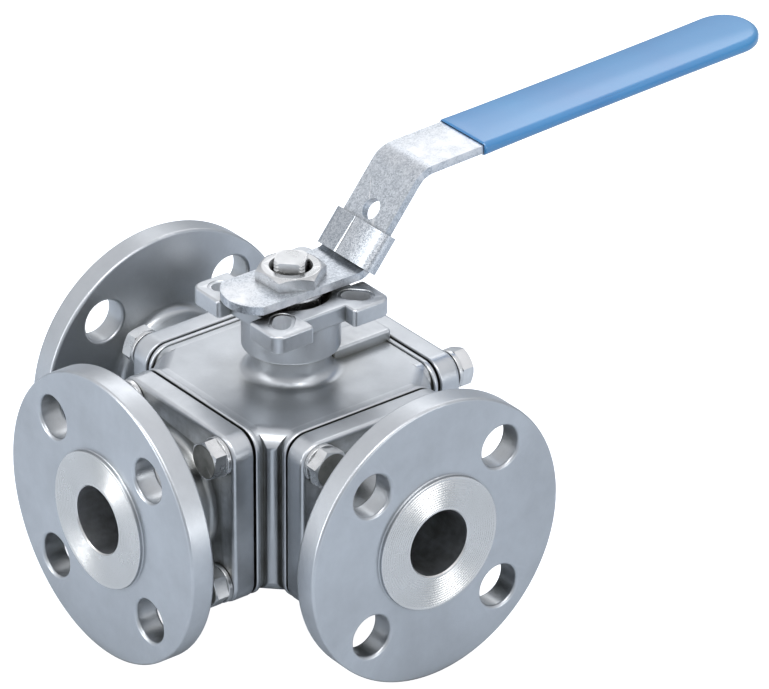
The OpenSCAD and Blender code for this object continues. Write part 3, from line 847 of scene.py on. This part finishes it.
def makeBody(b):
    foot, top = b["top"] - 0.03, b["padTop"] - 0.04
    column = turned([
        (0, b["top"] - 3), (b["footRadius"], b["top"] - 3), (b["footRadius"], foot),
        (b["pedestalRadius"], foot, b["pedestalFillet"]),
        (b["pedestalRadius"], b["columnFoot"], b["pedestalRound"]),
        (b["columnRadius"], b["columnFoot"], b["columnRound"]), (b["columnRadius"], top), (0, top),
    ], 96)
    plateau = slab(
        b["plateauWidth"], b["plateauLength"], b["plateauCorner"], b["top"] - 2, b["plateauTop"],
        0, b["plateauRound"], place=moved(0, b["reach"] - b["plateauLength"] / 2 - 0.05, 0),
    )
    whole = combine(bodyCore(b), "UNION", *bodyEnds(b), column, *mountingPad(b), plateau)
    wells = [rod(b["chamberRadius"], 0, b["chamberEnd"], 64, pipeEnd(a)) for a in (0, 90, 180, 270)]
    bm = bmesh.new()
    bmesh.ops.create_uvsphere(bm, u_segments=64, v_segments=32, radius=b["cavityRadius"])
    cavity = toDraft(bm)
    recess, chamfer = b["recessRadius"], b["recessChamfer"]
    stemWay = turned([
        (0, 0), (b["collarHole"], 0), (b["collarHole"], b["collarRoof"]), (b["stemHole"], b["collarRoof"]),
        (b["stemHole"], b["packingFloor"]), (b["packingHole"], b["packingFloor"]),
        (b["packingHole"], b["recessFloor"]), (recess, b["recessFloor"]), (recess, b["padTop"] - chamfer),
        (recess + chamfer * 2, b["padTop"] + chamfer), (recess + chamfer * 2, b["recessEnd"]),
        (0, b["recessEnd"]),
    ], 96)
    return combine(whole, "DIFFERENCE", cavity, *wells, stemWay, *padSlots(b))


def inSlot(centre, normal):
    outward = (abs(centre.x) + abs(centre.y)) / 2 ** 0.5
    across = abs(abs(centre.x) - abs(centre.y)) / 2 ** 0.5
    if not block["padTop"] - block["padThick"] < centre.z < block["padTop"] - 0.05:
        return False
    if across > block["slotWidth"] / 2 + 0.1 or abs(normal.z) > 0.5:
        return False
    return block["slotFrom"] < outward < block["slotTo"]


valveBody = makeBody(block)
# The slot walls take the lit copy of the cast steel
paintFaces(valveBody, "cast_steel", litSlotSteel, inSlot)
finishPiece(valveBody, "valve_body", "housing", "cast_steel", ["body"])
print("body is made")

# Cap bolts and spring washers

bolt = {
    "radius": 4, "tip": 33, "threadPitch": 1.0, "threadDepth": 0.5, "threadGap": 3, "tipChamfer": 0.6,
    "headLow": 52.1, "headHigh": 57.4, "acrossFlats": 13, "chamfer": 0.45, "spacing": 25.5,
    "crownRound": 0.3, "dishEdge": 0.9, "dishRim": 0.12, "dishMiddle": 0.16,
    "washerLow": 50.3, "washerHigh": 52.1, "washerRadius": 7.3, "washerHole": 4.2,
    "washerGap": 1.2, "gapSlant": 35, "washerInnerRound": 0.2, "washerOuterRound": 0.35,
    "headTurns": (4, 21, -9, 33, 14, -17, 8, 27, 40, 2, -12, 19, 11, 36, -5, 24),
    "gapTurns": (140, 20, 75, 200, 310, 95, 160, 45, 250, 10, 120, 330, 60, 285, 180, 225),
}


def makeBolt(b):
    flat = b["acrossFlats"] / 2 - b["chamfer"]
    low, top = b["headLow"], b["headHigh"]
    # the head's top is a cone cut at 30 degrees, with a shallow stamped dish
    dome = turned([
        (0, low - 1), (flat + (top - low + 1) * 3 ** 0.5, low - 1), (flat, top, b["crownRound"]),
        (flat - b["dishEdge"], top - b["dishRim"]), (0, top - b["dishMiddle"]),
    ], 64)
    head = combine(hexagon(b["acrossFlats"], low, top), "INTERSECT", dome)
    ridges = []
    height = low - b["threadGap"]
    while height > b["tip"] + 1:
        ridges += [(b["radius"], height), (b["radius"] - b["threadDepth"], height - b["threadPitch"] / 2)]
        height -= b["threadPitch"]
    shank = turned([
        (0, low + 1), (b["radius"], low + 1), *ridges,
        (b["radius"] - b["tipChamfer"], b["tip"]), (0, b["tip"]),
    ], 24)
    return combine(head, "UNION", shank)


def makeSpringWasher(b):
    low, high = b["washerLow"], b["washerHigh"]
    inside, outside = b["washerInnerRound"], b["washerOuterRound"]
    ring = turned([
        (b["washerHole"], low, inside), (b["washerRadius"], low, outside),
        (b["washerRadius"], high, outside), (b["washerHole"], high, inside),
    ], 64)
    place = moved(b["washerHole"] + 4, 0, (low + high) / 2) @ turnedBy(b["gapSlant"], "X")
    return combine(ring, "DIFFERENCE", slab(10, b["washerGap"], 0, -3, 3, place=place))


def onHeadTop(centre, normal):
    return centre.z > bolt["headHigh"] - 0.25 and normal.z > 0.9


oneBolt = makeBolt(bolt)
# The heads' top faces are given the far darker steel
paintFaces(oneBolt, "machined_steel", darkHeadTopSteel, onHeadTop)
oneWasher = makeSpringWasher(bolt)
count = 0
for side, degrees in (("left", 180), ("right", 0), ("branch", -90), ("blank", 90)):
    heads, washers = [], []
    for x in (-1, 1):
        for y in (-1, 1):
            place = pipeEnd(degrees) @ moved(x * bolt["spacing"], y * bolt["spacing"], 0)
            heads.append(copyDraft(oneBolt, place @ turnedBy(bolt["headTurns"][count], "Z")))
            washers.append(copyDraft(oneWasher, place @ turnedBy(bolt["gapTurns"][count], "Z")))
            count += 1
    finishPiece(gather(heads), "hex_bolts_" + side, "housing", "machined_steel", ["cap_bolts_" + side])
    finishPiece(
        gather(washers), "split_washers_" + side, "housing", "machined_steel", ["spring_washers_" + side],
    )
bpy.data.objects.remove(oneBolt)
bpy.data.objects.remove(oneWasher)
print("bolts and washers are made")

# Stem and nuts

spindle = {
    "radius": 7, "square": 11, "top": 76.5, "topChamfer": 0.7, "squareFoot": 57.5, "shoulderRound": 0.4,
    "threadPitch": 1.25, "threadDepth": 0.5, "threadFoot": 69,
    "markFrom": 0.8, "markTo": 5.2, "markPitch": 0.9, "markDepth": 0.05,
    "collarRadius": 10, "collarLow": 24.8, "collarHigh": 29.8,
    "tangLow": 18.3, "tangHigh": 26, "tangWidth": 8, "tangRound": 0.5,
}


def threadRidges(radius, low, high, pitch, depth):
    points = []
    height = high
    while height - pitch > low:
        points += [(radius, height), (radius - depth, height - pitch / 2)]
        height -= pitch
    return points + [(radius, height)]


def makeStem(s):
    marks = []
    radius = s["markFrom"]
    while radius < s["markTo"]:
        marks += [(radius, s["top"]), (radius + s["markPitch"] / 2, s["top"] - s["markDepth"])]
        radius += s["markPitch"]
    edge = s["top"] - s["topChamfer"]
    upper = turned([
        (0, s["top"] - s["markDepth"]), *marks, (s["radius"] - s["topChamfer"], s["top"]),
        *threadRidges(s["radius"], s["threadFoot"], edge, s["threadPitch"], s["threadDepth"]),
        (s["radius"], s["squareFoot"] - 1), (0, s["squareFoot"] - 1),
    ], 96)
    flats = slab(s["square"], s["square"], 0, s["squareFoot"], s["top"] + 1, place=turnedBy(45, "Z"))
    upper = combine(upper, "INTERSECT", flats)
    shoulder, rounding = s["squareFoot"] + 0.05, s["shoulderRound"]
    lower = turned([
        (0, shoulder), (s["radius"], shoulder, rounding), (s["radius"], s["collarHigh"]),
        (s["collarRadius"], s["collarHigh"], rounding), (s["collarRadius"], s["collarLow"], rounding),
        (0, s["collarLow"]),
    ], 64)
    foot = turned([
        (0, s["tangLow"]), (s["collarRadius"], s["tangLow"], s["tangRound"]),
        (s["collarRadius"], s["tangHigh"]), (0, s["tangHigh"]),
    ], 64)
    tang = combine(foot, "INTERSECT", slab(30, s["tangWidth"], 0, 10, 28))
    return combine(upper, "UNION", lower, tang)


finishPiece(makeStem(spindle), "threaded_stem", "stem_and_lever", "machined_steel", ["stem"], keepSharp=25)

handleNut = {
    "acrossFlats": 22, "low": 68.5, "high": 73.3, "turn": 3, "chamfer": 0.5, "crownRound": 0.25,
    "boreRadius": 7.06, "sink": 0.75, "pitch": 1.25, "depth": 0.5,
}
glandNut = {
    "acrossFlats": 21, "low": 57.5, "high": 64.5, "turn": 17, "chamfer": 0.5, "crownRound": 0.25,
    "boreRadius": 7.06, "sink": 0.5, "pitch": 1.25, "depth": 0.4,
}


def makeNut(n):
    low, high, sink = n["low"], n["high"], n["sink"]
    flat = n["acrossFlats"] / 2 - n["chamfer"]
    lens = turned([
        (0, low - 1), (flat + (high - low + 1) * 3 ** 0.5, low - 1), (flat, high, n["crownRound"]), (0, high),
    ], 96)
    blank = combine(hexagon(n["acrossFlats"], low, high, radians(n["turn"])), "INTERSECT", lens)
    mouth = n["boreRadius"] + sink
    bore = turned([
        (0, high + 1), (mouth + 1, high + 1), (mouth, high - 0.001),
        *threadRidges(n["boreRadius"], low + sink, high - sink, n["pitch"], n["depth"]),
        (mouth, low + 0.001), (mouth + 1, low - 1), (0, low - 1),
    ], 96)
    return combine(blank, "DIFFERENCE", bore)


for nut, name, node in (
    (handleNut, "thin_handle_nut", "handle_nut"),
    (glandNut, "packing_gland_nut", "gland_nut"),
):
    finishPiece(makeNut(nut), name, "stem_and_lever", "machined_steel", [node], keepSharp=25)
print("stem and nuts are made")

# Lever, sleeve and lock plate

handle = {
    "width": 24, "thick": 3.2, "under": 65.3, "tongue": 27.5, "tongueRadius": 14.3,
    "bendAt": 22.7, "slope": 51, "rise": 32, "firstBend": 5, "secondBend": 10, "bendSteps": 12,
    "tilt": 2, "reach": 207, "endRadius": 11, "cutLow": 50, "cutHigh": 140,
    "square": 11.1, "squareLow": 60, "squareHigh": 72, "lockHole": 8, "lockHoleAt": 21.1, "edgeRound": 0.6,
}


def bendPoints(h):
    # Where the lever's middle lines cross: at the foot of the slope, and at its head
    out = h["bendAt"] + h["thick"] / 2 * tan(radians(h["slope"] / 2))
    foot = Vector((0, out, h["under"] + h["thick"] / 2))
    length = h["rise"] / sin(radians(h["slope"]))
    head = foot + Vector((0, cos(radians(h["slope"])), sin(radians(h["slope"])))) * length
    return foot, head, length


def makeLever(h):
    foot, head, slopeLength = bendPoints(h)
    firstTrim = h["firstBend"] * tan(radians(h["slope"] / 2))
    secondTrim = h["secondBend"] * tan(radians((h["slope"] - h["tilt"]) / 2))
    handleLength = (h["reach"] - head.y) / cos(radians(h["tilt"]))
    bm = bmesh.new()
    bmesh.ops.create_grid(bm, x_segments=1, y_segments=1, size=0.5)
    bmesh.ops.scale(bm, vec=(h["width"], h["thick"], 1), verts=bm.verts)
    bmesh.ops.rotate(bm, verts=bm.verts, cent=(0, 0, 0), matrix=Matrix.Rotation(pi / 2, 3, "X"))
    start = Vector((0, -h["tongue"], foot.z))
    bmesh.ops.translate(bm, vec=start, verts=bm.verts)
    state = {"end": bm.faces[:], "at": start.copy(), "angle": 0.0}

    def straight(length):
        along = Vector((0, cos(state["angle"]), sin(state["angle"])))
        inner = [f for f in state["end"] if len(bm.faces) > 1]
        grown = bmesh.ops.extrude_face_region(bm, geom=state["end"])["geom"]
        bmesh.ops.delete(bm, geom=[f for f in inner if f.is_valid], context="FACES_ONLY")
        far = [g for g in grown if isinstance(g, bmesh.types.BMVert)]
        bmesh.ops.translate(bm, vec=along * length, verts=far)
        state["end"] = [g for g in grown if isinstance(g, bmesh.types.BMFace)]
        state["at"] += along * length

    def bend(radius, degrees):
        side = 1 if degrees > 0 else -1
        normal = Vector((0, -sin(state["angle"]), cos(state["angle"])))
        centre = state["at"] + normal * radius * side
        old = state["end"]
        spun = bmesh.ops.spin(
            bm, geom=old, cent=centre, axis=(1, 0, 0), angle=radians(degrees), steps=h["bendSteps"],
            use_duplicate=False,
        )["geom_last"]
        bmesh.ops.delete(bm, geom=[f for f in old if f.is_valid], context="FACES_ONLY")
        state["end"] = [g for g in spun if isinstance(g, bmesh.types.BMFace)]
        state["at"] = centre + Matrix.Rotation(radians(degrees), 3, "X") @ (state["at"] - centre)
        state["angle"] += radians(degrees)

    straight(h["tongue"] + foot.y - firstTrim)
    bend(h["firstBend"], h["slope"])
    straight(slopeLength - firstTrim - secondTrim)
    bend(h["secondBend"], h["tilt"] - h["slope"])
    straight(handleLength - secondTrim)
    strip = toDraft(bm)
    # seen from above, the tongue and the far end are round
    length = h["reach"] + h["tongue"] - h["tongueRadius"]
    plan = slab(
        h["width"] + 0.02, length, (0, 0, h["endRadius"], h["endRadius"]), h["cutLow"], h["cutHigh"],
        place=moved(0, h["reach"] - length / 2 - 0.2, 0),
    )
    place = moved(0, h["tongueRadius"] - h["tongue"], 0)
    disc = rod(h["tongueRadius"], h["cutLow"], h["cutHigh"], 96, place)
    lever = combine(strip, "INTERSECT", combine(plan, "UNION", disc))
    onSlope = Matrix.Translation(foot) @ turnedBy(h["slope"], "X")
    hole = rod(h["lockHole"] / 2, -6, 6, 64, onSlope @ moved(0, h["lockHoleAt"], 0))
    square = slab(h["square"], h["square"], 0, h["squareLow"], h["squareHigh"], place=turnedBy(45, "Z"))
    return combine(lever, "DIFFERENCE", hole, square)


finishPiece(
    makeLever(handle), "bent_lever", "stem_and_lever", "sheet_steel", ["lever"], rounding=handle["edgeRound"],
)

sleeve = {
    "start": 76.5, "halfWidth": 13.3, "endGap": 4, "thinEnd": 5.5, "thickEnd": 5.9,
    "endRadius": 12.8, "edgeRound": 2.5, "lipRound": 0.5, "mouthGap": 0.25,
    "crown": 0.3, "crownCuts": 12,
}


def makeSleeve(s, h):
    head = bendPoints(h)[1]
    tilt = cos(radians(h["tilt"]))
    first = (s["start"] - head.y) / tilt
    last = (h["reach"] - head.y) / tilt + s["endGap"]
    bm = bmesh.new()
    bmesh.ops.create_grid(bm, x_segments=1, y_segments=1, size=0.5)
    bmesh.ops.scale(bm, vec=(2 * s["halfWidth"], last - first, 1), verts=bm.verts)
    for vert in [v for v in bm.verts if v.co.y > 0]:
        roundCorner(bm, vert, s["endRadius"], 12)
    bmesh.ops.translate(bm, vec=(0, (first + last) / 2, -s["thickEnd"] / 2), verts=bm.verts)
    grown = bmesh.ops.extrude_face_region(bm, geom=bm.faces[:])["geom"]
    raised = [g for g in grown if isinstance(g, bmesh.types.BMVert)]
    bmesh.ops.translate(bm, vec=(0, 0, s["thickEnd"]), verts=raised)
    bmesh.ops.recalc_face_normals(bm, faces=bm.faces)
    around = [
        e for e in bm.edges
        if abs(e.verts[0].co.z - e.verts[1].co.z) < 0.01 and max(v.co.y for v in e.verts) > first + 0.01
    ]
    roundEdges(bm, around, s["edgeRound"], 7)
    mouth = [e for e in bm.edges if all(abs(v.co.y - first) < 0.01 for v in e.verts)]
    roundEdges(bm, mouth, s["lipRound"], 3)
    cuts = s["crownCuts"]
    flat = s["halfWidth"] - s["edgeRound"]
    planes = [((flat * (2 * i / cuts - 1), 0, 0), (1, 0, 0)) for i in range(cuts + 1)]
    planes += [((0, first + (last - first) * (i + 0.5) / cuts, 0), (0, 1, 0)) for i in range(cuts)]
    for place, across in planes:
        bmesh.ops.bisect_plane(
            bm, geom=bm.verts[:] + bm.edges[:] + bm.faces[:], dist=0.0001, plane_co=place, plane_no=across,
        )
    for vert in bm.verts:
        along = (vert.co.y - first) / (last - first)
        fullest = max(0.0, sin(pi * along)) ** 0.5
        vert.co.z *= 1 - s["crown"] * fullest * (abs(vert.co.x) / s["halfWidth"]) ** 3
        vert.co.z *= (s["thinEnd"] + (s["thickEnd"] - s["thinEnd"]) * along) / s["thickEnd"]
    grip = toDraft(bm)
    gap = s["mouthGap"]
    inside = last - s["endGap"] + gap - first + 2
    deep = h["thick"] / 2 + gap
    hollow = slab(
        h["width"] + 2 * gap, inside, (0, 0, h["endRadius"], h["endRadius"]), -deep, deep,
        place=moved(0, first - 2 + inside / 2, 0),
    )
    grip = combine(grip, "DIFFERENCE", hollow)
    grip.data.transform(Matrix.Translation(head) @ turnedBy(h["tilt"], "X"))
    return grip


grip = makeSleeve(sleeve, handle)
finishPiece(grip, "dipped_grip", "stem_and_lever", "grip_vinyl", ["lever_sleeve"])

lock = {
    "length": 14.6, "at": 1.5, "width": 29.4, "thick": 8.6, "sheet": 1.9,
    "leftRadius": 3.0, "rightRadius": 4.25, "insideLeft": 1.0, "insideRight": 2.3,
    "seamX": -2.0, "seamGap": 0.35, "bevelNarrow": 0.5, "bevelWide": 1.3, "bevelDeep": 0.26,
    "crownFrom": 1.5, "crownDrop": 1.5, "crownPower": 1.8, "crownDepth": 0.55, "crownCuts": 12,
    "leftLean": 1.0, "edgeRound": 0.25, "keepSharp": 9,
}


def makeLockPlate(k, h):
    foot = bendPoints(h)[0]
    outside = (k["leftRadius"], k["rightRadius"]) * 2
    inside = (k["insideLeft"], k["insideRight"]) * 2
    outer = slab(k["width"], k["thick"], outside, 0, k["length"], cornerSteps=12)
    inner = slab(
        k["width"] - 2 * k["sheet"], k["thick"] - 2 * k["sheet"], inside, -1, k["length"] + 1, cornerSteps=8,
    )
    top = -k["thick"] / 2
    seam = slab(k["seamGap"], 6, 0, -1, k["length"] + 1, place=moved(k["seamX"], top + 1, 0))
    # the left side of the seam is dressed back, more so at the lower end
    dressed = slab(2, 2, 0, -1, k["length"] + 1, place=moved(k["seamX"] - 1, top - 1, 0))
    for vert in dressed.data.vertices:
        if vert.co.x > k["seamX"] - 0.5:
            vert.co.x = k["seamX"] + 0.01
            vert.co.y = top + k["bevelDeep"] if vert.co.y > top - 1 else vert.co.y
        else:
            vert.co.x = k["seamX"] - (k["bevelWide"] if vert.co.z < 0 else k["bevelNarrow"])
            vert.co.y = top - 0.02 if vert.co.y > top - 1 else vert.co.y
    plate = combine(outer, "DIFFERENCE", inner, seam, dressed)
    # the left half leans away from the seam and the right half is crowned
    right = k["width"] / 2
    bm = bmesh.new()
    bm.from_mesh(plate.data)
    for i in range(k["crownCuts"]):
        cut = k["crownFrom"] + (right - k["rightRadius"] - k["crownFrom"]) * i / (k["crownCuts"] - 1)
        bmesh.ops.bisect_plane(
            bm, geom=bm.verts[:] + bm.edges[:] + bm.faces[:], dist=0.0001,
            plane_co=(cut, 0, 0), plane_no=(1, 0, 0),
        )
    for vert in bm.verts:
        if vert.co.x < k["seamX"] and vert.co.y < 0:
            lean = (k["seamX"] - vert.co.x) / (k["seamX"] + right)
            vert.co.y += k["leftLean"] * lean * min(1, -vert.co.y / (k["thick"] / 2))
        if vert.co.x > k["crownFrom"] and vert.co.y < 0:
            share = (vert.co.x - k["crownFrom"]) / (right - k["crownFrom"])
            depth = -vert.co.y / (k["thick"] / 2)
            reach = max(0, depth - k["crownDepth"]) / (1 - k["crownDepth"])
            vert.co.y += k["crownDrop"] * share ** k["crownPower"] * reach
    bpy.data.objects.remove(plate)
    plate = toDraft(bm)
    onSlope = Matrix.Translation(foot) @ turnedBy(h["slope"], "X")
    plate.data.transform(onSlope @ moved(0, k["at"], 0) @ turnedBy(-90, "X"))
    return plate


finishPiece(
    makeLockPlate(lock, handle), "folded_lock_plate", "sliding_lock", "sheet_steel", ["lock_plate"],
    rounding=lock["edgeRound"], keepSharp=lock["keepSharp"], material=rolledSteel,
)
print("lever, sleeve and lock plate are made")
